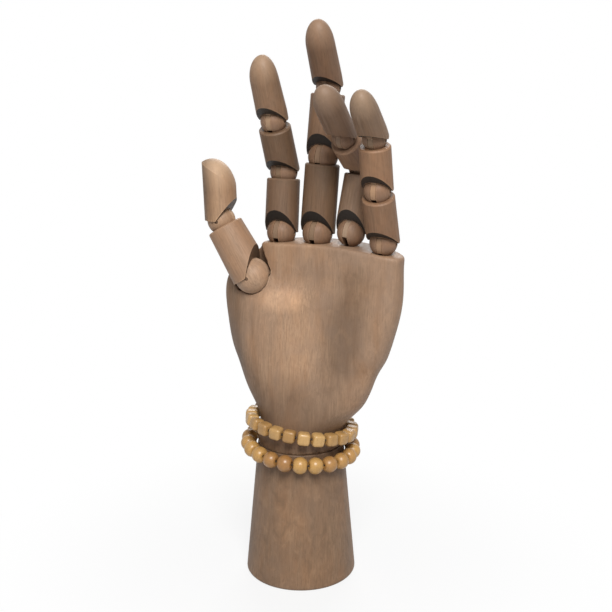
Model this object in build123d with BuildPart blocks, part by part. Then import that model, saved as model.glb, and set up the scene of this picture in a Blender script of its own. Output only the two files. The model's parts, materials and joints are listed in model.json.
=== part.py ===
"""Wooden hand mannequin: a left hand that stands on a turned forearm, with two bead bracelets.

Millimetres. The origin is the middle of the forearm's flat foot, +Z is up, the palm faces -Y
and +X points to the little finger's side. Every joint is a slotted ball with a peg below it:
the segment above reaches into the slot with a tongue, and a steel pin crosses both.
"""
import os
from math import cos, exp, pi, radians, sin, sqrt, tan

from build123d import *

os.makedirs("parts", exist_ok=True)

# Forearm base, a turned cone
base_height = 76.0
base_foot_radius = 30.7
base_top_radius = 23.6
base_foot_round = 1.8
base_top_round = 0.8

# Wrist: a dowel glued into the palm turns in the base, and a spring draws it down
wrist_gap = 0.3
wrist_dowel_radius = 6.0
wrist_dowel_in_palm = 22.0
wrist_dowel_in_base = 24.0
wrist_spring_length = 22.0
wrist_spring_radius = 5.0

# Palm: rows of height above the wrist, thumb side, little side, front, back and squareness
palm_rows = (
    (0.0, -23.3, 23.3, 23.3, 23.3, 2.0),
    (8.0, -22.6, 23.8, 22.0, 22.6, 2.0),
    (15.0, -22.8, 28.0, 20.8, 20.6, 2.05),
    (23.0, -26.8, 36.6, 19.6, 18.4, 2.1),
    (36.0, -33.0, 44.4, 18.6, 16.6, 2.2),
    (50.0, -38.0, 49.8, 18.0, 15.6, 2.3),
    (64.0, -41.0, 53.8, 17.2, 15.0, 2.4),
    (78.0, -42.4, 57.2, 16.2, 14.6, 2.5),
    (91.0, -40.4, 58.6, 15.0, 14.0, 2.5),
    (103.0, -28.0, 58.8, 13.6, 13.2, 2.5),
    (118.0, -21.0, 58.6, 12.6, 12.4, 2.5),
)
palm_row_points = 24
palm_height = 111.5
palm_crown_radius = 400.0
palm_crown_middle = 5.0
palm_edge_round = 1.8
palm_arch = 8.0
palm_arch_share = 0.4
thumb_mound = 4.5
thumb_mound_middle = -20.0
thumb_mound_width = 20.0
thumb_mound_height = 60.0
palm_hollow = 4.0
palm_hollow_middle = 14.0
palm_hollow_width = 15.0
palm_hollow_height = 72.0
palm_relief_reach = 34.0

# Joints
notch_angle = 52.0
notch_rise = 0.5
seat_drop = 3.5
cup_wall = 0.95
cup_gap = 0.3
seat_gap = 0.05
turning_seat_gap = 0.3
slot_width = 3.0
slot_front_angle = 182.0
slot_back_angle = 105.0
tongue_gap = 0.2
tongue_inset = 0.25
tongue_hub_radius = 4.2
tongue_neck_width = 8.0
tongue_front_angle = 113.0
tongue_back_angle = 70.0
pin_radius = 1.0
pin_inset = 0.6
pin_press_fit = 0.02
pin_running_fit = 0.08
peg_radius = 2.4
peg_reach = 12.0
turning_peg_reach = 16.0
peg_fit = 0.06
rim_edge = 0.6

# Draw springs in the palm
spring_length = 11.0
spring_radius = 2.8
spring_wire = 0.9
spring_room = 0.3
hook_radius = 0.6
hook_length = 4.0
hook_fit = 0.05

# Fingers: radii, knuckle depth, knuckle height above the palm, splay, turn to the thumb,
# segment lengths and bends
segment_taper = 0.2
tip_round_height = 13.0
round_share = 0.552
index_knuckle_place = -10.5
finger_gaps = {"middle": 1.7, "ring": 0.8, "little": 3.2}
fingers = {
    "index": ((8.95, 8.5, 7.9), -1.5, 4.3, 0.0, 0.0, (31.8, 29.3, 35.0), (-6.0, 29.8, -2.4)),
    "middle": ((9.2, 9.0, 7.7), 1.0, 4.6, 3.0, 0.0, (39.6, 35.4, 37.0), (-3.0, -0.9, 32.8)),
    "ring": ((8.6, 8.0, 7.2), 2.0, 6.6, 4.0, 5.9, (33.5, 28.0, 35.0), (-11.1, 63.4, -6.4)),
    "little": ((8.4, 8.0, 7.2), -4.0, 5.6, 2.0, 0.0, (30.3, 26.5, 31.0), (23.7, -7.4, 27.2)),
}

# Thumb
thumb_radii = (10.9, 8.7)
thumb_taper = 1.2
thumb_root_place = (-22.3, -12.5)
thumb_root_height = 93.0
thumb_twist = 8.0
thumb_lean = 30.6
thumb_lengths = (33.5, 32.5)
thumb_bends = (0.0, 28.5)
thumb_tip_shift = 3.7
thumb_tip_round_height = 17.5
thumb_swing_out = 20.0
thumb_swing_in = 5.0
thumb_clearance = 0.4
thumb_bowl_depth = 4.3

# Bracelets
cube_size = 6.7
cube_round = 1.2
cube_count = 23
cube_ring_gap = 1.0
cube_ring_middle = (0.6, 0.0)
cube_ring_above_wrist = 10.2
cube_ring_side_tilt = 6.0
cube_ring_front_tilt = -6.0
round_bead_radius = 4.5
round_bead_length = 7.6
round_bead_end_radius = 2.0
round_bead_count = 22
round_ring_gap = 0.8
round_ring_below_wrist = 2.3
round_ring_side_tilt = 5.0
bead_hole_radius = 0.9
elastic_radius = 0.5


def side_of(frame):
    """The plane that a finger bends in: x runs to the back of the hand, y along the finger."""
    return Plane(frame.origin, x_dir=frame.y_dir, z_dir=frame.x_dir)


def bent_frame(frame, angle):
    """The frame turned about its own x, so that a positive angle bends a finger to the palm."""
    turn = radians(angle)
    return Plane(frame.origin, x_dir=frame.x_dir, z_dir=frame.z_dir * cos(turn) - frame.y_dir * sin(turn))


def write(part, node):
    part.label = node
    export_step(part, f"parts/{node}.step")


def cut_round(plane, radius, amount, both=False):
    """Cuts a round hole of this radius from the part being built."""
    with BuildSketch(plane) as hole:
        Circle(radius)
    extrude(hole.sketch, amount=amount, both=both, mode=Mode.SUBTRACT)


def palm_top_at(x):
    """Height of the crowned top of the palm."""
    return palm_top - palm_crown_radius + sqrt(palm_crown_radius**2 - (x - palm_crown_middle) ** 2)


def make_ball(node, frame, radius, reach, sprung):
    """A ball on a peg, sawn open for the tongue, with a bridge left standing behind the peg."""
    side = side_of(frame)
    slot_reach = radius + cup_gap
    far = 3 * radius
    front = radians(slot_front_angle)
    back = radians(slot_back_angle)
    with BuildPart() as ball:
        with Locations(frame):
            Sphere(radius, rotation=(0, 90, 0))
        with BuildSketch(frame):
            Circle(peg_radius)
        extrude(amount=-reach)
        with BuildSketch(side):
            Circle(slot_reach)
            with BuildLine():
                Polyline(
                    (0, 0), (-far * sin(front), far * cos(front)), (far, -far), (far * sin(back), far * cos(back)),
                    close=True,
                )
            make_face(mode=Mode.SUBTRACT)
            Circle(tongue_hub_radius + tongue_gap)
        extrude(amount=slot_width / 2, both=True, mode=Mode.SUBTRACT)
        cut_round(side, pin_radius + pin_press_fit, radius, both=True)
        if sprung:
            cut_round(frame.offset(-reach), hook_radius + hook_fit, hook_length + hook_fit)
    write(ball.part, node)


def make_pin(node, frame, radius):
    """The steel pin across a ball, a little shorter than the ball is wide."""
    with BuildPart() as pin:
        with BuildSketch(side_of(frame)):
            Circle(pin_radius)
        extrude(amount=radius - pin_inset, both=True)
    write(pin.part, node)


def hollow_over_ball(frame, radius, ball_radius):
    """Cuts the notch and the cup that clear the ball below, and adds the tongue for its slot."""
    side = side_of(frame)
    far = 3 * radius
    cup_radius = ball_radius + cup_gap
    front = radians(tongue_front_angle)
    back = radians(tongue_back_angle)
    with BuildSketch(side) as notch:
        with BuildLine():
            Polyline(
                (far, notch_rise), (0, notch_rise), (-far, notch_rise + far * tan(radians(notch_angle))),
                (-far, -far), (far, -far),
                close=True,
            )
        make_face()
    extrude(notch.sketch, amount=far, both=True, mode=Mode.SUBTRACT)
    with Locations(frame):
        Sphere(cup_radius, mode=Mode.SUBTRACT)
    with BuildSketch(side) as tongue:
        Circle(ball_radius - tongue_inset)
        with BuildLine():
            Polyline(
                (0, 0), (-far * sin(front), far * cos(front)), (0, -2 * far), (far, -far),
                (far * sin(back), far * cos(back)),
                close=True,
            )
        make_face(mode=Mode.SUBTRACT)
        Circle(tongue_hub_radius)
        Polygon(
            (-tongue_neck_width / 2, 0), (tongue_neck_width / 2, 0),
            (tongue_neck_width / 2, cup_radius), (-tongue_neck_width / 2, cup_radius),
            align=None,
        )
    extrude(tongue.sketch, amount=slot_width / 2 - tongue_gap, both=True)
    cut_round(side, pin_radius + pin_running_fit, slot_width / 2, both=True)


def make_segment(node, frame, length, radius, taper, ball_radius, next_ball_radius):
    """A finger segment with a ball below it and the seat of the next ball on top."""
    top = length - seat_drop
    top_radius = radius - taper
    with BuildPart() as segment:
        with BuildSketch(side_of(frame)):
            with BuildLine():
                Polyline(
                    (0, 0), (radius, 0), (top_radius, top - rim_edge), (top_radius - rim_edge, top), (0, top),
                    close=True,
                )
            make_face()
        revolve(axis=Axis(frame.origin, frame.z_dir))
        hollow_over_ball(frame, radius, ball_radius)
        with Locations(frame.offset(length)):
            Sphere(next_ball_radius + seat_gap, mode=Mode.SUBTRACT)
        cut_round(frame.offset(length), peg_radius + peg_fit, -peg_reach - peg_fit)
    write(segment.part, node)


def make_finger_tip(node, frame, length, radius, ball_radius):
    """The last segment of a finger, with a domed end."""
    shoulder = length - tip_round_height
    with BuildPart() as tip:
        with BuildSketch(side_of(frame)):
            with BuildLine():
                Polyline((0, length), (0, 0), (radius, 0), (radius, shoulder))
                Bezier(
                    (radius, shoulder), (radius, shoulder + round_share * tip_round_height),
                    (round_share * radius, length), (0, length),
                )
            make_face()
        revolve(axis=Axis(frame.origin, frame.z_dir))
        hollow_over_ball(frame, radius, ball_radius)
    write(tip.part, node)


def make_thumb_tip(node, frame, length, radius, ball_radius):
    """The last segment of the thumb: its dome stands to the nail's side, so the pad slopes away."""
    dome_radius = radius + thumb_tip_shift
    shoulder = length - thumb_tip_round_height
    dome_axis = Axis(frame.origin + frame.y_dir * thumb_tip_shift, frame.z_dir)
    with BuildPart() as tip:
        with BuildSketch(frame):
            Circle(radius)
        extrude(amount=length)
        with BuildSketch(Plane(dome_axis.position, x_dir=frame.y_dir, z_dir=frame.x_dir)):
            with BuildLine():
                Polyline((0, length), (0, -radius), (2 * dome_radius, -radius), (2 * dome_radius, length), close=True)
            make_face()
            with BuildLine():
                Polyline((0, length), (0, -radius), (dome_radius, -radius), (dome_radius, shoulder))
                Bezier(
                    (dome_radius, shoulder), (dome_radius, shoulder + round_share * thumb_tip_round_height),
                    (round_share * dome_radius, length), (0, length),
                )
            make_face(mode=Mode.SUBTRACT)
        revolve(axis=dome_axis, mode=Mode.SUBTRACT)
        hollow_over_ball(frame, radius, ball_radius)
    write(tip.part, node)


def cut_turning_seat(frame, ball_radius):
    """Cuts a ball's seat, its peg's bore and the spring's room below into the palm being built."""
    with Locations(frame):
        Sphere(ball_radius + turning_seat_gap, mode=Mode.SUBTRACT)
    floor = turning_peg_reach + spring_length + 2 * hook_fit
    cut_round(frame, peg_radius + peg_fit, -turning_peg_reach - hook_fit)
    cut_round(frame.offset(-turning_peg_reach), spring_radius + spring_room, -spring_length - 2 * hook_fit)
    cut_round(frame.offset(-floor), hook_radius + hook_fit, -hook_length - hook_fit)


def make_spring(node, frame, reach, length, radius):
    """A draw spring as a closed coil body, hooked into the peg above and the wood below."""
    coil_top = -reach - hook_fit
    coil_foot = coil_top - length
    with BuildPart() as spring:
        with BuildSketch(side_of(frame)):
            with BuildLine():
                Polyline(
                    (0, coil_top + hook_length), (hook_radius, coil_top + hook_length), (hook_radius, coil_top),
                    (radius, coil_top), (radius, coil_foot), (hook_radius, coil_foot),
                    (hook_radius, coil_foot - hook_length), (0, coil_foot - hook_length),
                    (0, coil_foot + spring_wire), (radius - spring_wire, coil_foot + spring_wire),
                    (radius - spring_wire, coil_top - spring_wire), (0, coil_top - spring_wire),
                    close=True,
                )
            make_face()
        revolve(axis=Axis(frame.origin, frame.z_dir))
    write(spring.part, node)


def finger_joints(root, lengths, bends):
    """Seat frames, which carry the balls, and bent frames, which carry the segments."""
    seats = []
    bent = []
    seat = root
    for length, bend in zip(lengths, bends):
        seats.append(seat)
        bent.append(bent_frame(seat, bend))
        seat = bent[-1].offset(length)
    return seats, bent


def make_finger(name, joints, segments, root, radii, taper, lengths, bends):
    """All the pieces of one finger, from its ball in the palm to its tip."""
    seats, bent = finger_joints(root, lengths, bends)
    balls = [radius - cup_wall - cup_gap for radius in radii]
    for i, (joint, segment) in enumerate(zip(joints, segments)):
        in_palm = i == 0
        make_ball(f"{name}_{joint}_ball", seats[i], balls[i], turning_peg_reach if in_palm else peg_reach, in_palm)
        make_pin(f"{name}_{joint}_pin", seats[i], balls[i])
        node = f"{name}_{segment}_segment"
        if segment != "tip":
            make_segment(node, bent[i], lengths[i], radii[i], taper, balls[i], balls[i + 1])
        elif name == "thumb":
            make_thumb_tip(node, bent[i], lengths[i], radii[i], balls[i])
        else:
            make_finger_tip(node, bent[i], lengths[i], radii[i], balls[i])
    make_spring(f"{name}_{joints[0]}_spring", root, turning_peg_reach, spring_length, spring_radius)


def palm_outline(height, thumb_side, little_side, front, back, squareness):
    """Points round one level of the palm, with the thumb's mound and the hollow in its front."""
    middle = (thumb_side + little_side) / 2
    reach = (little_side - thumb_side) / 2
    mound = thumb_mound * exp(-(((height - thumb_mound_height) / palm_relief_reach) ** 2))
    hollow = palm_hollow * exp(-(((height - palm_hollow_height) / palm_relief_reach) ** 2))
    arch = palm_arch * min(height / palm_height, 1.0) ** 2
    points = []
    for i in range(palm_row_points):
        turn = 2 * pi * i / palm_row_points
        across = abs(cos(turn)) ** (2 / squareness) * (1 if cos(turn) > 0 else -1)
        deep = abs(sin(turn)) ** (2 / squareness)
        x = middle + reach * across
        y = arch * (palm_arch_share - across**2)
        if sin(turn) > 0:
            y += back * deep
        else:
            y -= front * deep
            y -= deep * mound * exp(-(((x - thumb_mound_middle) / thumb_mound_width) ** 2))
            y += deep * hollow * exp(-(((x - palm_hollow_middle) / palm_hollow_width) ** 2))
        points.append((x, y))
    return points


# Where the fingers stand in the palm
palm_foot = base_height + wrist_gap
palm_top = palm_foot + palm_height
knuckles = {}
place = index_knuckle_place
last_radius = None
for name, (radii, depth, lift, splay, turn, lengths, bends) in fingers.items():
    if last_radius is not None:
        place += last_radius + radii[0] + finger_gaps[name]
    last_radius = radii[0]
    lean = radians(splay)
    aim = radians(turn)
    knuckles[name] = Plane(
        (place, depth, palm_top_at(place) + lift),
        x_dir=(cos(lean) * cos(aim), -sin(aim), -sin(lean) * cos(aim)),
        z_dir=(sin(lean), 0, cos(lean)),
    )
twist = radians(thumb_twist)
out = radians(thumb_lean)
thumb_frame = Plane(
    (*thumb_root_place, palm_foot + thumb_root_height),
    x_dir=(-sin(twist), cos(twist), 0),
    z_dir=(-sin(out) * cos(twist), -sin(out) * sin(twist), cos(out)),
)
wrist_frame = Plane.XY.offset(base_height)

# Forearm base
with BuildPart() as forearm_base:
    with BuildSketch(Plane.XZ):
        with BuildLine():
            Polyline((0, 0), (base_foot_radius, 0), (base_top_radius, base_height), (0, base_height), close=True)
        make_face()
    revolve(axis=Axis.Z)
    fillet(forearm_base.edges().filter_by(GeomType.CIRCLE).sort_by(Axis.Z)[0], base_foot_round)
    fillet(forearm_base.edges().filter_by(GeomType.CIRCLE).sort_by(Axis.Z)[-1], base_top_round)
    cut_round(wrist_frame, wrist_dowel_radius + peg_fit, -wrist_dowel_in_base - hook_fit)
    spring_top = wrist_frame.offset(-wrist_dowel_in_base)
    cut_round(spring_top, wrist_spring_radius + spring_room, -wrist_spring_length - 2 * hook_fit)
    spring_foot = spring_top.offset(-wrist_spring_length - 2 * hook_fit)
    cut_round(spring_foot, hook_radius + hook_fit, -hook_length - hook_fit)
write(forearm_base.part, "forearm_base")

# Wrist dowel and spring
with BuildPart() as wrist_dowel:
    with BuildSketch(wrist_frame.offset(-wrist_dowel_in_base)):
        Circle(wrist_dowel_radius)
    extrude(amount=wrist_dowel_in_base + wrist_gap + wrist_dowel_in_palm)
    cut_round(wrist_frame.offset(-wrist_dowel_in_base), hook_radius + hook_fit, hook_length + hook_fit)
write(wrist_dowel.part, "wrist_dowel")
make_spring("wrist_spring", wrist_frame, wrist_dowel_in_base, wrist_spring_length, wrist_spring_radius)

# Palm
with BuildPart() as palm:
    for row in palm_rows:
        with BuildSketch(Plane.XY.offset(palm_foot + row[0])):
            with BuildLine():
                Spline(*palm_outline(*row), periodic=True)
            make_face()
    loft()
    crown = Plane((palm_crown_middle, palm_crown_radius, palm_top - palm_crown_radius), z_dir=(0, -1, 0))
    with BuildSketch(crown):
        Circle(palm_crown_radius)
    extrude(amount=2 * palm_crown_radius, mode=Mode.INTERSECT)
    fillet(palm.faces().sort_by(Axis.Z)[-1].edges(), palm_edge_round)
    # the thumb has a bowl round its ball's seat, and a way out for its swing
    bowl_radius = thumb_radii[0] + thumb_clearance
    with BuildSketch(side_of(thumb_frame)):
        Circle(bowl_radius)
        Rectangle(bowl_radius, 2 * bowl_radius, align=(Align.MAX, Align.CENTER), mode=Mode.SUBTRACT)
        with Locations((0, -thumb_bowl_depth)):
            Rectangle(2 * bowl_radius, bowl_radius, align=(Align.CENTER, Align.MAX), mode=Mode.SUBTRACT)
    revolve(axis=Axis(thumb_frame.origin, thumb_frame.z_dir), mode=Mode.SUBTRACT)
    for swing in (-thumb_swing_out, 0.0, thumb_swing_in):
        cut_round(bent_frame(thumb_frame, swing), bowl_radius, sum(thumb_lengths))
    cut_turning_seat(thumb_frame, thumb_radii[0] - cup_wall - cup_gap)
    for name, knuckle in knuckles.items():
        cut_turning_seat(knuckle, fingers[name][0][0] - cup_wall - cup_gap)
    cut_round(wrist_frame, wrist_dowel_radius + pin_press_fit, wrist_gap + wrist_dowel_in_palm + pin_press_fit)
write(palm.part, "palm")

# Fingers and thumb
for name, (radii, depth, lift, splay, turn, lengths, bends) in fingers.items():
    joints = ("knuckle", "mid", "tip")
    make_finger(name, joints, ("lower", "mid", "tip"), knuckles[name], radii, segment_taper, lengths, bends)
make_finger(
    "thumb", ("root", "tip"), ("lower", "tip"), thumb_frame, thumb_radii, thumb_taper, thumb_lengths, thumb_bends
)

# Bracelet of rounded cubes
cube_ring = Plane(
    (*cube_ring_middle, base_height + cube_ring_above_wrist),
).rotated((cube_ring_front_tilt, cube_ring_side_tilt, 0))
cube_ring_radius = base_top_radius + cube_ring_gap + cube_size / 2
with BuildPart() as cube_bead:
    Box(cube_size, cube_size, cube_size)
    fillet(cube_bead.edges(), cube_round)
    cut_round(Plane.XZ, bead_hole_radius, cube_size, both=True)
with BuildPart(cube_ring) as cube_beads:
    with PolarLocations(cube_ring_radius, cube_count):
        add(cube_bead.part)
write(cube_beads.part, "cube_beads")
with BuildPart(cube_ring) as cube_bead_elastic:
    Torus(cube_ring_radius, elastic_radius)
write(cube_bead_elastic.part, "cube_bead_elastic")

# Bracelet of round beads
round_ring = Plane((0, 0, base_height - round_ring_below_wrist)).rotated((0, round_ring_side_tilt, 0))
round_ring_radius = base_top_radius + round_ring_gap + round_bead_radius
with BuildPart() as round_bead:
    with BuildSketch(Plane.XY):
        with BuildLine():
            Polyline(
                (round_bead_end_radius, -round_bead_length / 2), (bead_hole_radius, -round_bead_length / 2),
                (bead_hole_radius, round_bead_length / 2), (round_bead_end_radius, round_bead_length / 2),
            )
            ThreePointArc(
                (round_bead_end_radius, round_bead_length / 2), (round_bead_radius, 0),
                (round_bead_end_radius, -round_bead_length / 2),
            )
        make_face()
    revolve(axis=Axis.Y)
with BuildPart(round_ring) as round_beads:
    with PolarLocations(round_ring_radius, round_bead_count):
        add(round_bead.part)
write(round_beads.part, "round_beads")
with BuildPart(round_ring) as round_bead_elastic:
    Torus(round_ring_radius, elastic_radius)
write(round_bead_elastic.part, "round_bead_elastic")
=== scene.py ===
import json
import math
import random

import bmesh
import bpy
from mathutils import Matrix, Vector


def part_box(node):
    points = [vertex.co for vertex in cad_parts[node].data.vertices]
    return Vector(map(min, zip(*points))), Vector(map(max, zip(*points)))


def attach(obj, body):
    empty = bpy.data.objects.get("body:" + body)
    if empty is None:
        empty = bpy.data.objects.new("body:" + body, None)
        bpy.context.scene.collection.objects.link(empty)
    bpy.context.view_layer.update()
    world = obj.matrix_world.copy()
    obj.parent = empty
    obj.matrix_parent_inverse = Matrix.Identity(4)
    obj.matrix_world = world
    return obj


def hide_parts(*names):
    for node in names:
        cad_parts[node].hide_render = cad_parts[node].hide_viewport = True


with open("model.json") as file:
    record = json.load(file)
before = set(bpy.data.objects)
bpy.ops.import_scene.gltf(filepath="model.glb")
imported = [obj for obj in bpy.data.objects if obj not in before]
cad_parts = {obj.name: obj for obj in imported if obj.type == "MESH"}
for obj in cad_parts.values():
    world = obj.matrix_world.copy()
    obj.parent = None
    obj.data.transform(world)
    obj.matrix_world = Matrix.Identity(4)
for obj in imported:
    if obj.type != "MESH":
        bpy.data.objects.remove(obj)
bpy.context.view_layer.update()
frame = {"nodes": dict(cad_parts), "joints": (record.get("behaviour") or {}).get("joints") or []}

# The table and the room: a round white table top that fades into a white room, so that only the soft
# shadow round the foot shows. The camera stands at fingertip height, on the little finger's side.
camera_turn = math.radians(25)
camera_tilt = math.radians(76.226)
camera = bpy.data.objects.new("camera", bpy.data.cameras.new("camera"))
bpy.context.collection.objects.link(camera)
camera.location = (0.22707, -0.48019, 0.28243)
camera.rotation_euler = (camera_tilt, 0, camera_turn)
camera.data.lens = 60.0
camera.data.sensor_width = 36.0
camera.data.clip_start = 0.01
bpy.context.scene.camera = camera
bpy.context.scene.view_settings.view_transform = "Standard"


def make_object(name, shape):
    """Turns a finished bmesh into an object of the scene."""
    mesh = bpy.data.meshes.new(name)
    shape.to_mesh(mesh)
    shape.free()
    made = bpy.data.objects.new(name, mesh)
    bpy.context.collection.objects.link(made)
    return made


def feed(tree, sockets, values):
    """Gives each input its value: another node's output, a plain number, a colour or a vector."""
    for socket, value in zip(sockets, values):
        if hasattr(value, "is_linked"):
            tree.links.new(value, socket)
        else:
            socket.default_value = value


def arithmetic(tree, operation, *values):
    """One step of arithmetic in a material."""
    node = tree.nodes.new("ShaderNodeMath")
    node.operation = operation
    feed(tree, node.inputs, values)
    return node.outputs[0]


def measure(tree, operation, *vectors):
    """A number taken from one or two vectors, such as a length."""
    node = tree.nodes.new("ShaderNodeVectorMath")
    node.operation = operation
    feed(tree, node.inputs, vectors)
    return node.outputs["Value"]


def ramp_of(tree, value, low, high, to_low=0.0, to_high=1.0, kind="LINEAR"):
    """Stretches a value so that low becomes to_low and high becomes to_high, held at both ends."""
    node = tree.nodes.new("ShaderNodeMapRange")
    node.interpolation_type = kind
    feed(tree, node.inputs, (value, low, high, to_low, to_high))
    return node.outputs["Result"]


def seen_rays(tree):
    """1 where the camera looks, also by way of gloss or glass, and 0 for rays that only carry light."""
    ray = tree.nodes.new("ShaderNodeLightPath")
    looked_at = arithmetic(tree, "MAXIMUM", ray.outputs["Is Camera Ray"], ray.outputs["Is Glossy Ray"])
    return arithmetic(tree, "MAXIMUM", looked_at, ray.outputs["Is Transmission Ray"])


table_radius = 1.6
fade_starts, fade_ends = 0.03, 0.20
white_at_foot = 0.80
table = bmesh.new()
bmesh.ops.create_circle(table, cap_ends=True, segments=96, radius=table_radius)
table_top = make_object("table_top", table)
paint = bpy.data.materials.new("white_table_paint")
paint.use_nodes = True
tree = paint.node_tree
tree.nodes.clear()
spot = tree.nodes.new("ShaderNodeTexCoord")
from_foot = measure(tree, "LENGTH", spot.outputs["Object"])
fade = ramp_of(tree, from_foot, fade_starts, fade_ends, white_at_foot, 1.0, "SMOOTHSTEP")
matt = tree.nodes.new("ShaderNodeBsdfDiffuse")
matt.inputs["Color"].default_value = (0.70, 0.70, 0.70, 1)
glow = tree.nodes.new("ShaderNodeEmission")
glow.inputs["Color"].default_value = (1, 1, 1, 1)
coat = tree.nodes.new("ShaderNodeMixShader")
white_share = arithmetic(tree, "MULTIPLY", fade, seen_rays(tree))
feed(tree, coat.inputs, (white_share, matt.outputs[0], glow.outputs[0]))
out = tree.nodes.new("ShaderNodeOutputMaterial")
tree.links.new(coat.outputs[0], out.inputs["Surface"])
table_top.data.materials.append(paint)

room_light, room_white = 0.14, 1.0
room = bpy.data.worlds.new("white_room")
bpy.context.scene.world = room
room.use_nodes = True
tree = room.node_tree
tree.nodes.clear()
walls = tree.nodes.new("ShaderNodeBackground")
walls.inputs["Color"].default_value = (1, 1, 1, 1)
tree.links.new(ramp_of(tree, seen_rays(tree), 0, 1, room_light, room_white), walls.inputs["Strength"])
out = tree.nodes.new("ShaderNodeOutputWorld")
tree.links.new(walls.outputs[0], out.inputs["Surface"])

hand_middle = Vector((0, 0, 0.15))
for name, place, width, watts, shine in (
    ("window_light", (0.50, -0.90, 1.15), 0.55, 24.5, 1.0),
    ("side_light", (-1.1, -0.6, 0.7), 0.9, 0.7, 0.15),
    ("back_light", (-0.4, 1.2, 1.0), 0.9, 11.0, 0.15),
):
    lamp = bpy.data.objects.new(name, bpy.data.lights.new(name, "AREA"))
    bpy.context.collection.objects.link(lamp)
    lamp.data.size = width
    lamp.data.energy = watts
    lamp.data.specular_factor = shine
    lamp.location = place
    lamp.rotation_euler = (hand_middle - Vector(place)).to_track_quat("-Z", "Y").to_euler()


# The forearm: one cone turned from hardwood, stained grey-brown and rubbed matt. Its grain runs upright,
# and the stain has gone a little blotchy. Its corners are paler, rubbed and with a painted highlight, and
# painted shade darkens its top under the bracelets and its left side.
def plain(red, green, blue):
    """A colour as a screen shows it, 0 to 255, turned to the shader's own scale."""
    def on_shader_scale(part):
        part = part / 255
        return part / 12.92 if part <= 0.04045 else ((part + 0.055) / 1.055) ** 2.4
    return (on_shader_scale(red), on_shader_scale(green), on_shader_scale(blue), 1)


def tinted(tone, red, green, blue):
    """The same colour with its three parts raised or lowered, and no part brighter than white."""
    return tuple(min(1, part * change) for part, change in zip(tone, (red, green, blue))) + (1,)


def mix_colours(tree, share, first, second, kind="MIX"):
    """Lays a second colour over a first one. Each is a socket or a plain colour."""
    node = tree.nodes.new("ShaderNodeMix")
    node.data_type = "RGBA"
    node.blend_type = kind
    amount, under, over = node.inputs[0], node.inputs[6], node.inputs[7]
    feed(tree, (amount, under, over), (share, first, second))
    return node.outputs[2]


def new_finish(name):
    """A fresh material with its nodes and its shader."""
    finish = bpy.data.materials.new(name)
    finish.use_nodes = True
    return finish, finish.node_tree, finish.node_tree.nodes["Principled BSDF"]


def grain_place(tree, foot, along):
    """Places measured from a foot point, with Z along the grain."""
    spot = tree.nodes.new("ShaderNodeTexCoord")
    lay = tree.nodes.new("ShaderNodeMapping")
    lay.vector_type = "TEXTURE"
    lay.inputs["Location"].default_value = foot
    lay.inputs["Rotation"].default_value = Vector(along).to_track_quat("Z", "Y").to_euler()
    tree.links.new(spot.outputs["Object"], lay.inputs["Vector"])
    return lay.outputs[0]


def streaks(tree, place, size, stretch, detail=4.0, bend=0.0):
    """Noise drawn out along the grain: size is across the grain in metres, stretch how much longer it is."""
    squeeze = tree.nodes.new("ShaderNodeMapping")
    squeeze.inputs["Scale"].default_value = (1, 1, 1 / stretch)
    tree.links.new(place, squeeze.inputs["Vector"])
    node = tree.nodes.new("ShaderNodeTexNoise")
    node.inputs["Scale"].default_value = 1 / size
    node.inputs["Detail"].default_value = detail
    node.inputs["Roughness"].default_value = 0.6
    node.inputs["Distortion"].default_value = bend
    tree.links.new(squeeze.outputs[0], node.inputs["Vector"])
    return node.outputs["Fac"]


def stain_and_light_patch(tree, colour, ragged_by, place, half_widths, lean, strength):
    """Makes the colour paler or darker in one rounded patch, whose border is ragged along the grain: uneven
    stain in some patches, painted light and shade in others.
    """
    spot = tree.nodes.new("ShaderNodeTexCoord")
    spread = tree.nodes.new("ShaderNodeMapping")
    spread.vector_type = "TEXTURE"
    spread.inputs["Location"].default_value = place
    spread.inputs["Rotation"].default_value = (0, math.radians(lean), 0)
    spread.inputs["Scale"].default_value = half_widths
    tree.links.new(spot.outputs["Object"], spread.inputs["Vector"])
    inside = tree.nodes.new("ShaderNodeTexGradient")
    inside.gradient_type = "SPHERICAL"
    tree.links.new(spread.outputs[0], inside.inputs["Vector"])
    ragged = arithmetic(tree, "MULTIPLY_ADD", ragged_by, 0.5, inside.outputs["Fac"])
    stronger = (strength, strength * 0.985, strength * 0.96, 1)
    return mix_colours(tree, ramp_of(tree, ragged, 0.25, 0.80), colour, stronger, "MULTIPLY")


def raise_grain(tree, shader, height, strength, depth):
    """Gives the surface a fine relief."""
    bump = tree.nodes.new("ShaderNodeBump")
    bump.inputs["Strength"].default_value = strength
    bump.inputs["Distance"].default_value = depth
    tree.links.new(height, bump.inputs["Height"])
    tree.links.new(bump.outputs[0], shader.inputs["Normal"])


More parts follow.
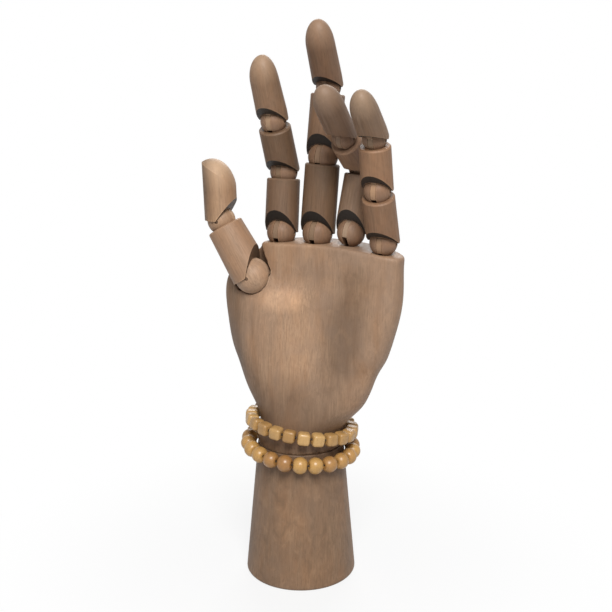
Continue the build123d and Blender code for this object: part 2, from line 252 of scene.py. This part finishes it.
def stained_wood(name, foot, along, tone, pale_end=None, patches=(), underside_shade=0.0, tongue=None, mottling=0.22,
                 crevice_shade=0.85):
    """Stained hardwood whose grain runs along one direction from a foot point. Tone is the stain's colour.
    Pale_end is where along the grain a rounded end, cut across the grain, begins and ends to get paler.
    A patch is a place, its half widths, its lean in degrees and how much paler or darker the colour is there,
    as uneven stain or as painted light and shade.
    Underside shade blackens a cut that looks back down the grain: painted shade under the cup's overhang,
    over stain that gathers there.
    Tongue is the radius round the foot inside which the wood has rubbed in its slot and stayed pale.
    Mottling is how unevenly the stain has taken, and crevice shade how dark narrow cuts are: painted shade in
    the hollows, over stain that dried dark there."""
    wood, tree, shader = new_finish(name)
    local = grain_place(tree, foot, along)
    fine = streaks(tree, local, 0.0008, 18, 5.0, 0.2)
    broad = streaks(tree, local, 0.009, 6, 3.0, 0.6)
    pores = streaks(tree, local, 0.0006, 14, 2.0)
    blotch = streaks(tree, local, 0.022, 1.6, 4.0, 0.4)
    speck = streaks(tree, local, 0.0018, 1.5, 6.0)
    mottle = streaks(tree, local, 0.0065, 1.5, 5.0, 0.9)
    dark = tinted(tone, 0.62, 0.60, 0.58)
    pale = tinted(tone, 1.18, 1.17, 1.15)
    ruddy = tinted(tone, 1.02, 0.88, 0.76)
    grey = tinted(tone, 0.80, 0.82, 0.88)
    colour = mix_colours(tree, ramp_of(tree, fine, 0.20, 0.78), dark, pale)
    for marks, none_at, full_at, most, tint in (
        (broad, 0.38, 0.66, 0.60, ruddy),
        (blotch, 0.44, 0.66, 0.80, grey),
        (mottle, 0.54, 0.66, mottling, dark),
        (mottle, 0.46, 0.34, mottling, pale),
        (pores, 0.58, 0.70, 0.42, dark),
        (speck, 0.57, 0.72, 0.42, dark),
    ):
        colour = mix_colours(tree, ramp_of(tree, marks, none_at, full_at, 0.0, most), colour, tint)
    if pale_end is not None:
        parts = tree.nodes.new("ShaderNodeSeparateXYZ")
        tree.links.new(local, parts.inputs[0])
        end_share = ramp_of(tree, parts.outputs["Z"], *pale_end, 0.0, 0.55)
        colour = mix_colours(tree, end_share, colour, tinted(tone, 1.75, 1.92, 2.08))
    for patch in patches:
        colour = stain_and_light_patch(tree, colour, broad, *patch)

    # painted shade: faces that look back down the grain, under the cup's overhang, go black, over stain
    # gathered there
    spot = tree.nodes.new("ShaderNodeTexCoord")
    looks_up = measure(tree, "DOT_PRODUCT", spot.outputs["Normal"], Vector(along).normalized())
    under = ramp_of(tree, looks_up, -0.10, -0.38, 0.0, underside_shade)
    if tongue is not None:
        from_pin = measure(tree, "LENGTH", local)
        outside = ramp_of(tree, from_pin, tongue + 0.00002, tongue + 0.0001)
        strip = mix_colours(tree, 0.65, colour, tinted(tone, 1.55, 1.65, 1.70))
        colour = mix_colours(tree, outside, strip, colour)
        under = arithmetic(tree, "MULTIPLY", under, outside)
    colour = mix_colours(tree, under, colour, tinted(tone, 0.04, 0.04, 0.04))

    # edges paler: rubbed by wear, and a painted highlight along them
    softened = tree.nodes.new("ShaderNodeBevel")
    softened.samples = 4
    softened.inputs["Radius"].default_value = 0.0009
    surface = tree.nodes.new("ShaderNodeNewGeometry")
    flatness = measure(tree, "DOT_PRODUCT", softened.outputs[0], surface.outputs["Normal"])
    rubbed_and_highlit = ramp_of(tree, flatness, 0.99, 0.84, 0.0, 0.55)
    colour = mix_colours(tree, rubbed_and_highlit, colour, tinted(tone, 1.6, 1.6, 1.6))
    # painted shade: narrow hollows darkened by local occlusion, over stain dried dark in them
    openness = tree.nodes.new("ShaderNodeAmbientOcclusion")
    openness.samples = 4
    openness.only_local = True
    openness.inputs["Distance"].default_value = 0.006
    hidden = ramp_of(tree, openness.outputs["AO"], 0.75, 0.30, 0.0, crevice_shade)
    colour = mix_colours(tree, hidden, colour, tinted(tone, 0.16, 0.16, 0.16))

    tree.links.new(colour, shader.inputs["Base Color"])
    tree.links.new(ramp_of(tree, fine, 0.3, 0.7, 0.66, 0.48), shader.inputs["Roughness"])
    shader.inputs["Specular IOR Level"].default_value = 0.35
    open_pores = ramp_of(tree, pores, 0.60, 0.72, 0.0, 0.8)
    raise_grain(tree, shader, arithmetic(tree, "SUBTRACT", fine, open_pores), 0.22, 0.0003)
    return wood


def dress(node, finish):
    """Gives a solid of the frame its finish."""
    for place in frame["nodes"][node].material_slots:
        place.material = finish


forearm_patches = (
    # painted shadow of the bracelets over the top, with some stain there
    ((0.000, 0.00, 0.074), (0.045, 0.045, 0.022), 0, 0.72),
    # painted shade on the left side, which turns away from the lamp
    ((-0.028, -0.01, 0.030), (0.014, 0.04, 0.050), 0, 0.76),
    # two paler patches low on the front
    ((0.006, -0.03, 0.038), (0.012, 0.02, 0.016), 20, 1.14),
    ((0.010, -0.03, 0.010), (0.020, 0.02, 0.010), 0, 1.10),
)
dress("forearm_base", stained_wood("forearm_stain", (0.004, 0.006, 0), (0.03, 0.01, 1), plain(129, 103, 80),
                                   patches=forearm_patches, mottling=0.55))

# The palm: one carved block of the same wood, with its grain running up to the knuckles. A gouge has hollowed
# it between the mound under the thumb and the little finger's side, and sandpaper has softened every edge.
palm_patches = (
    # darker in the gouged hollow: stain gathered there, and painted shade
    ((0.0300, -0.013, 0.143), (0.0150, 0.03, 0.045), 11, 0.66),
    # painted highlight on the shoulder under the thumb ball, over wood rubbed pale
    ((-0.005, -0.015, 0.1580), (0.0170, 0.02, 0.008), 0, 1.45),
    # painted highlight on the ridge left of the hollow
    ((0.0060, -0.014, 0.135), (0.0120, 0.03, 0.034), 8, 1.12),
    # painted shade over the lower palm
    ((0.0080, -0.018, 0.090), (0.0420, 0.05, 0.034), 0, 0.66),
    # darker low on the thumb's side
    ((-0.024, -0.012, 0.106), (0.0170, 0.03, 0.030), -14, 0.64),
    # painted shade on the left edge, which turns away from the lamp
    ((-0.036, -0.008, 0.140), (0.0140, 0.04, 0.050), 0, 0.60),
)
palm_wood = stained_wood("palm_stain", (0.01, 0.02, 0.05), (0.02, 0, 1), plain(154, 125, 100),
                         patches=palm_patches, mottling=0.30)
same_point = 1e-6
sanded_off = 0.0007
block = bmesh.new()
block.from_mesh(frame["nodes"]["palm"].data)
bmesh.ops.remove_doubles(block, verts=block.verts, dist=same_point)
carved_palm = make_object("carved_palm", block)
sanding = carved_palm.modifiers.new("sanding", "REMESH")
sanding.mode = "VOXEL"
sanding.voxel_size = sanded_off
sanded = carved_palm.evaluated_get(bpy.context.evaluated_depsgraph_get())
carved_palm.modifiers.remove(sanding)
carved_palm.data = bpy.data.meshes.new_from_object(sanded)


def ease(value, low, high):
    """Rises smoothly from 0 at low to 1 at high."""
    share = min(1, max(0, (value - low) / (high - low)))
    return share * share * (3 - 2 * share)


def mound(distance, width):
    """Falls smoothly from 1 in the middle to nearly nothing at twice the width."""
    return math.exp(-(distance / width) ** 2)


def gouge_depth(x, z):
    """How deep the carver has cut the front of the palm at a place on it, in metres."""
    hollow_x, hollow_z, hollow_lean, hollow_deep = 0.0285, 0.146, 0.20, 0.0026
    across = x - hollow_x - hollow_lean * (z - hollow_z)
    width = 0.0085 if across < 0 else 0.0175
    hollow = hollow_deep * mound(across, width) * ease(z, 0.098, 0.125) * (1 - ease(z, 0.165, 0.181))
    dip_x, dip_z, dip_deep = 0.002, 0.1685, 0.0020
    return hollow + dip_deep * mound(x - dip_x, 0.020) * mound(z - dip_z, 0.0075)


def heel_trim(x, z):
    """How far the carver has rounded off the heel of the hand on the little finger's side, in metres."""
    heel_z, heel_deep = 0.108, 0.0027
    height = 0.0100 if z < heel_z else 0.0200
    return heel_deep * mound(z - heel_z, height) * ease(x, 0.010, 0.036)


facing = [-vertex.normal.y for vertex in carved_palm.data.vertices]
for vertex, front in zip(carved_palm.data.vertices, facing):
    front = ease(front, 0.25, 0.75) * ease(-vertex.co.y, 0.003, 0.008)
    if front > 0:
        vertex.co.y += front * gouge_depth(vertex.co.x, vertex.co.z)
    vertex.co.x -= heel_trim(vertex.co.x, vertex.co.z)
carved_palm.data.shade_smooth()
carved_palm.data.materials.clear()
carved_palm.data.materials.append(palm_wood)
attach(carved_palm, "palm")
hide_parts("palm")

# Fingers and thumb: 14 turned segments on slotted balls, each stained before it was strung, so that no two
# match in tone. The grain runs along each segment, and its rounded end shows paler wood. Three tips are pared
# thinner on the side that looks to the little finger and to the back.
joint_place = {joint["name"]: Vector(joint["pos_m"]) for joint in frame["joints"]}
finger_tones = {
    "index": (plain(107, 84, 65), plain(104, 81, 61), plain(131, 104, 81)),
    "middle": (plain(104, 81, 61), plain(117, 91, 70), plain(119, 92, 71)),
    "ring": (plain(131, 107, 87), plain(133, 105, 83), plain(114, 90, 71)),
    "little": (plain(130, 100, 76), plain(138, 106, 80), plain(123, 99, 78)),
}
ball_stain = plain(136, 106, 83)
ball_crevice_shade = 0.3
tip_tapers = {"index": 0.19, "middle": 0.13, "little": 0.16}
pared_side = Vector((0.906, 0.423, 0))


def middle_of(node):
    """The middle of a node's box."""
    low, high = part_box(node)
    return (Vector(low) + Vector(high)) / 2


def reach_along(corners, foot, along):
    """How far a solid's corners reach from a foot point along a direction."""
    return max((corner.co - foot).dot(along) for corner in corners)


def ball_radius(node, foot, along):
    """The radius of a joint ball, taken on the half that looks along its segment, away from its peg."""
    reaches = [corner.co - foot for corner in frame["nodes"][node].data.vertices]
    return max(reach.length for reach in reaches if reach.dot(along) > 0)


def pare_tip(finger, foot, along, narrowing, stain):
    """Thins one side of a fingertip towards its end: the solid is cut into rings, and each is drawn in."""
    node, rings = f"{finger}_tip_segment", 24
    starts_at, full_after = 0.15, 0.55
    tip = bmesh.new()
    tip.from_mesh(frame["nodes"][node].data)
    bmesh.ops.remove_doubles(tip, verts=tip.verts, dist=same_point)
    length = reach_along(tip.verts, foot, along)
    for ring in range(1, rings):
        bmesh.ops.bisect_plane(tip, geom=tip.verts[:] + tip.edges[:] + tip.faces[:], dist=1e-7,
                               plane_co=foot + along * (length * ring / rings), plane_no=along)
    out = (pared_side - along * pared_side.dot(along)).normalized()
    for vertex in tip.verts:
        reach = vertex.co - foot
        share = min(1, max(0, (reach.dot(along) / length - starts_at) / full_after))
        vertex.co -= out * (max(0, reach.dot(out)) * narrowing * share)
    piece = make_object(f"{finger}_fingertip", tip)
    piece.data.shade_smooth()
    piece.data.set_sharp_from_angle(angle=math.radians(16))
    piece.data.materials.clear()
    piece.data.materials.append(stain)
    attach(piece, f"{finger}_tip")
    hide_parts(node)


for finger, tones in finger_tones.items():
    for level, above, tone in zip(("knuckle", "mid", "tip"), ("lower", "mid", "tip"), tones):
        segment, ball = f"{finger}_{above}_segment", f"{finger}_{level}_ball"
        foot = joint_place[f"{finger}_{level}_bend"]
        pale_end = None
        if above == "tip":
            along = (middle_of(segment) - foot).normalized()
            length = reach_along(frame["nodes"][segment].data.vertices, foot, along)
            pale_end = (length * 0.62, length * 0.98)
        else:
            next_level = "mid" if level == "knuckle" else "tip"
            along = (joint_place[f"{finger}_{next_level}_bend"] - foot).normalized()
        stain = stained_wood(f"{segment}_stain", foot, along, tone, pale_end, underside_shade=0.97,
                             tongue=ball_radius(ball, foot, along))
        dress(segment, stain)
        if above == "tip" and finger in tip_tapers:
            pare_tip(finger, foot, along, tip_tapers[finger], stain)
        ball_tone = tuple(own * 0.3 + common * 0.7 for own, common in zip(tone, ball_stain))
        dress(ball, stained_wood(f"{ball}_stain", foot, along, ball_tone, crevice_shade=ball_crevice_shade))

thumb_root, thumb_knuckle = joint_place["thumb_root_bend"], joint_place["thumb_tip_bend"]
thumb_middle = middle_of("thumb_tip_segment")
thumb_up = (thumb_knuckle - thumb_root).normalized()
thumb_out = (thumb_middle - thumb_knuckle).normalized()
thumb_pale_end = (0.016, 0.030)
# painted shade on the thumb tip's outer side, which faces away from the lamp
thumb_shaded_side = Vector((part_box("thumb_tip_segment")[0][0] - 0.002, thumb_middle.y, thumb_middle.z))
thumb_shade_patches = ((thumb_shaded_side, (0.014, 0.04, 0.045), 0, 0.44),)
dress("thumb_lower_segment",
      stained_wood("thumb_lower_segment_stain", thumb_root, thumb_up, plain(153, 123, 98), underside_shade=0.6,
                   tongue=ball_radius("thumb_root_ball", thumb_root, thumb_up)))
dress("thumb_root_ball",
      stained_wood("thumb_root_ball_stain", thumb_root, thumb_up, plain(164, 135, 110),
                   crevice_shade=ball_crevice_shade))
dress("thumb_tip_segment",
      stained_wood("thumb_tip_segment_stain", thumb_knuckle, thumb_out, plain(160, 129, 101),
                   thumb_pale_end, thumb_shade_patches, underside_shade=0.8,
                   tongue=ball_radius("thumb_tip_ball", thumb_knuckle, thumb_out)))
dress("thumb_tip_ball",
      stained_wood("thumb_tip_ball_stain", thumb_knuckle, thumb_out, plain(160, 130, 104),
                   crevice_shade=ball_crevice_shade))

# Wrist dowel: a plain turned peg of bare wood, glued into the palm and free to turn in the forearm.
# It was never stained, because it doesn't show.
dress("wrist_dowel", stained_wood("bare_dowel_wood", (0, 0, 0.05), (0, 0, 1), plain(196, 166, 128)))

# Cross pins: steel wire, pressed through each ball and the tongue in its slot and cut flush. Their ends were
# stained over with the wood round them, so they hardly show.
pin_stain = stained_wood("stained_over_pin", (0, 0, 0), (1, 0, 0), plain(112, 89, 70))
for node in frame["nodes"]:
    if node.endswith("_pin"):
        dress(node, pin_stain)

# Draw springs: drawn steel wire, out of sight in the palm and the wrist, where they pull the balls and the
# palm into their seats. Age has dulled them, and fine scratches run along the wire.
spring_steel, tree, shader = new_finish("spring_steel")
shader.inputs["Metallic"].default_value = 1.0
wire_place = grain_place(tree, (0, 0, 0), (0, 0, 1))
scratch = streaks(tree, wire_place, 0.0003, 20, 3.0)
dull = streaks(tree, wire_place, 0.004, 1, 3.0)
steel_colour = mix_colours(tree, ramp_of(tree, dull, 0.4, 0.7), plain(112, 102, 92), plain(70, 60, 52))
tree.links.new(steel_colour, shader.inputs["Base Color"])
tree.links.new(ramp_of(tree, scratch, 0.3, 0.7, 0.26, 0.44), shader.inputs["Roughness"])
raise_grain(tree, shader, scratch, 0.15, 0.0001)
for node in frame["nodes"]:
    if node.endswith("_spring"):
        dress(node, spring_steel)


# The bracelets: wooden beads threaded on elastic, one of rounded cubes and one of round beads, all oiled and
# not stained. Each was cut from another stick, drilled and tumbled, so it differs a little from the next.
def bead_wood(name, tone, deep):
    """Oiled wood, between a paler and a deeper tone, with the grain of each bead turned another way."""
    wood, tree, shader = new_finish(name)
    spot = tree.nodes.new("ShaderNodeTexCoord")
    own = tree.nodes.new("ShaderNodeAttribute")
    own.attribute_name = "bead_tone"
    lay = tree.nodes.new("ShaderNodeMapping")
    tree.links.new(spot.outputs["Object"], lay.inputs["Vector"])
    tree.links.new(own.outputs["Vector"], lay.inputs["Rotation"])
    grain = streaks(tree, lay.outputs[0], 0.0007, 8, 4.0, 0.4)
    cloud = streaks(tree, lay.outputs[0], 0.004, 1.5, 3.0)
    colour = mix_colours(tree, own.outputs["Fac"], tone, deep)
    darker = mix_colours(tree, 0.5, colour, (0.12, 0.055, 0.018, 1))
    colour = mix_colours(tree, ramp_of(tree, grain, 0.42, 0.72, 0.0, 0.50), colour, darker)
    colour = mix_colours(tree, ramp_of(tree, cloud, 0.48, 0.70, 0.0, 0.40), colour, darker)
    tree.links.new(colour, shader.inputs["Base Color"])
    tree.links.new(ramp_of(tree, grain, 0.3, 0.7, 0.26, 0.42), shader.inputs["Roughness"])
    shader.inputs["Specular IOR Level"].default_value = 0.5
    raise_grain(tree, shader, grain, 0.12, 0.0002)
    return wood


hole_radius, hole_depth = 0.0009, 0.0012


def cube_bead(bead):
    """One cube with rounded edges and a hole drilled along Y, rounded from a square by cutting its sides."""
    size, rounding = 0.0067, 0.0017
    bmesh.ops.create_cube(bead, size=size)
    bmesh.ops.bevel(bead, geom=bead.edges, offset=rounding, offset_type="OFFSET", segments=4, profile=0.5,
                    affect="EDGES", material=-1)
    bead.normal_update()
    flat_side = size - 2 * rounding
    ends = [f for f in bead.faces if abs(f.normal.y) > 0.99 and f.calc_area() > 0.9 * flat_side ** 2]
    bmesh.ops.inset_individual(bead, faces=ends, thickness=flat_side / 2 - hole_radius)
    for end in ends:
        bmesh.ops.subdivide_edges(bead, edges=end.edges[:], cuts=2)
        middle = end.calc_center_median()
        for vertex in end.verts:
            vertex.co = middle + (vertex.co - middle).normalized() * hole_radius
    bmesh.ops.inset_individual(bead, faces=ends, thickness=hole_radius * 0.02)
    for end in ends:
        bmesh.ops.translate(bead, verts=end.verts, vec=-end.normal * hole_depth)


def round_bead(bead):
    """One ball with its two ends along Y cut flat and drilled."""
    radius, half_length = 0.0045, 0.0038
    ball = bmesh.ops.create_uvsphere(bead, u_segments=28, v_segments=24, radius=radius)["verts"]
    bmesh.ops.rotate(bead, verts=ball, matrix=Matrix.Rotation(math.radians(90), 3, "X"))
    for vertex in ball:
        side = math.copysign(1, vertex.co.y)
        if Vector((vertex.co.x, 0, vertex.co.z)).length < hole_radius:
            vertex.co.y = side * (half_length - hole_depth)
        else:
            vertex.co.y = side * min(abs(vertex.co.y), half_length)


def ring_of(joint_name):
    """A bracelet's middle and the way it lies, with Z along the axis that it turns on."""
    joint = next(j for j in frame["joints"] if j["name"] == joint_name)
    axis = Vector(joint["axis"]).normalized()
    right = (Vector((1, 0, 0)) - axis * axis.x).normalized()
    lie = Matrix((right, axis.cross(right), axis)).transposed()
    return Matrix.Translation(joint["pos_m"]) @ lie.to_4x4()


def circle_radius(elastic, ring):
    """The radius of the circle that the middle of an elastic follows."""
    to_ring = ring.inverted()
    reaches = [(to_ring @ corner.co).xy.length for corner in frame["nodes"][elastic].data.vertices]
    return (min(reaches) + max(reaches)) / 2


def thread_beads(kind, make, count, wobble, wood, seed):
    """Makes one bead after another round the elastic, each a little turned and resized, as one piece."""
    chance = random.Random(seed)
    ring = ring_of(f"{kind}_bracelet_turn")
    out = Matrix.Translation((circle_radius(f"{kind}_bead_elastic", ring), 0, 0))
    string = bmesh.new()
    own = string.verts.layers.float_vector.new("bead_tone")
    spare = bpy.data.meshes.new(f"{kind}_bead")
    for number in range(count):
        bead = bmesh.new()
        make(bead)
        tone = chance.random()
        size = (chance.uniform(0.95, 1.0), chance.uniform(0.94, 1.0), chance.uniform(0.95, 1.0))
        tilt_x, tilt_y, tilt_z = (math.radians(chance.uniform(-most, most)) for most in wobble)
        tilt = (Matrix.Rotation(tilt_x, 4, "X") @ Matrix.Rotation(tilt_y, 4, "Y")
                @ Matrix.Rotation(tilt_z, 4, "Z"))
        place = ring @ Matrix.Rotation(math.tau * number / count, 4, "Z") @ out @ tilt
        bmesh.ops.transform(bead, matrix=place @ Matrix.Diagonal((*size, 1)), verts=bead.verts)
        bead.to_mesh(spare)
        bead.free()
        threaded = len(string.verts)
        string.from_mesh(spare)
        string.verts.ensure_lookup_table()
        for vertex in string.verts[threaded:]:
            vertex[own] = Vector((tone, tone, tone))
    bpy.data.meshes.remove(spare)
    bmesh.ops.recalc_face_normals(string, faces=string.faces)
    piece = make_object(f"{kind}_bead_string", string)
    piece.data.shade_smooth()
    piece.data.set_sharp_from_angle(angle=math.radians(40))
    piece.data.materials.append(wood)
    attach(piece, f"{kind}_bracelet")
    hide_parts(f"{kind}_beads")


cube_wood = bead_wood("cube_bead_wood", plain(192, 154, 98), plain(160, 121, 70))
thread_beads("cube", cube_bead, count=23, wobble=(3, 9, 4), wood=cube_wood, seed=5)
round_wood = bead_wood("round_bead_wood", plain(189, 147, 84), plain(154, 110, 62))
thread_beads("round", round_bead, count=22, wobble=(4, 30, 4), wood=round_wood, seed=9)

# Elastics: thin dark brown cord with a woven cover, drawn tight through the holes of the beads.
# It shows only in the gaps between them.
elastic_cover, tree, shader = new_finish("elastic_cover")
spot = tree.nodes.new("ShaderNodeTexCoord")
weave = streaks(tree, spot.outputs["Object"], 0.0003, 1, 2.0)
cover_colour = mix_colours(tree, ramp_of(tree, weave, 0.4, 0.65), plain(40, 29, 22), plain(78, 60, 46))
tree.links.new(cover_colour, shader.inputs["Base Color"])
shader.inputs["Roughness"].default_value = 0.8
dress("cube_bead_elastic", elastic_cover)
dress("round_bead_elastic", elastic_cover)
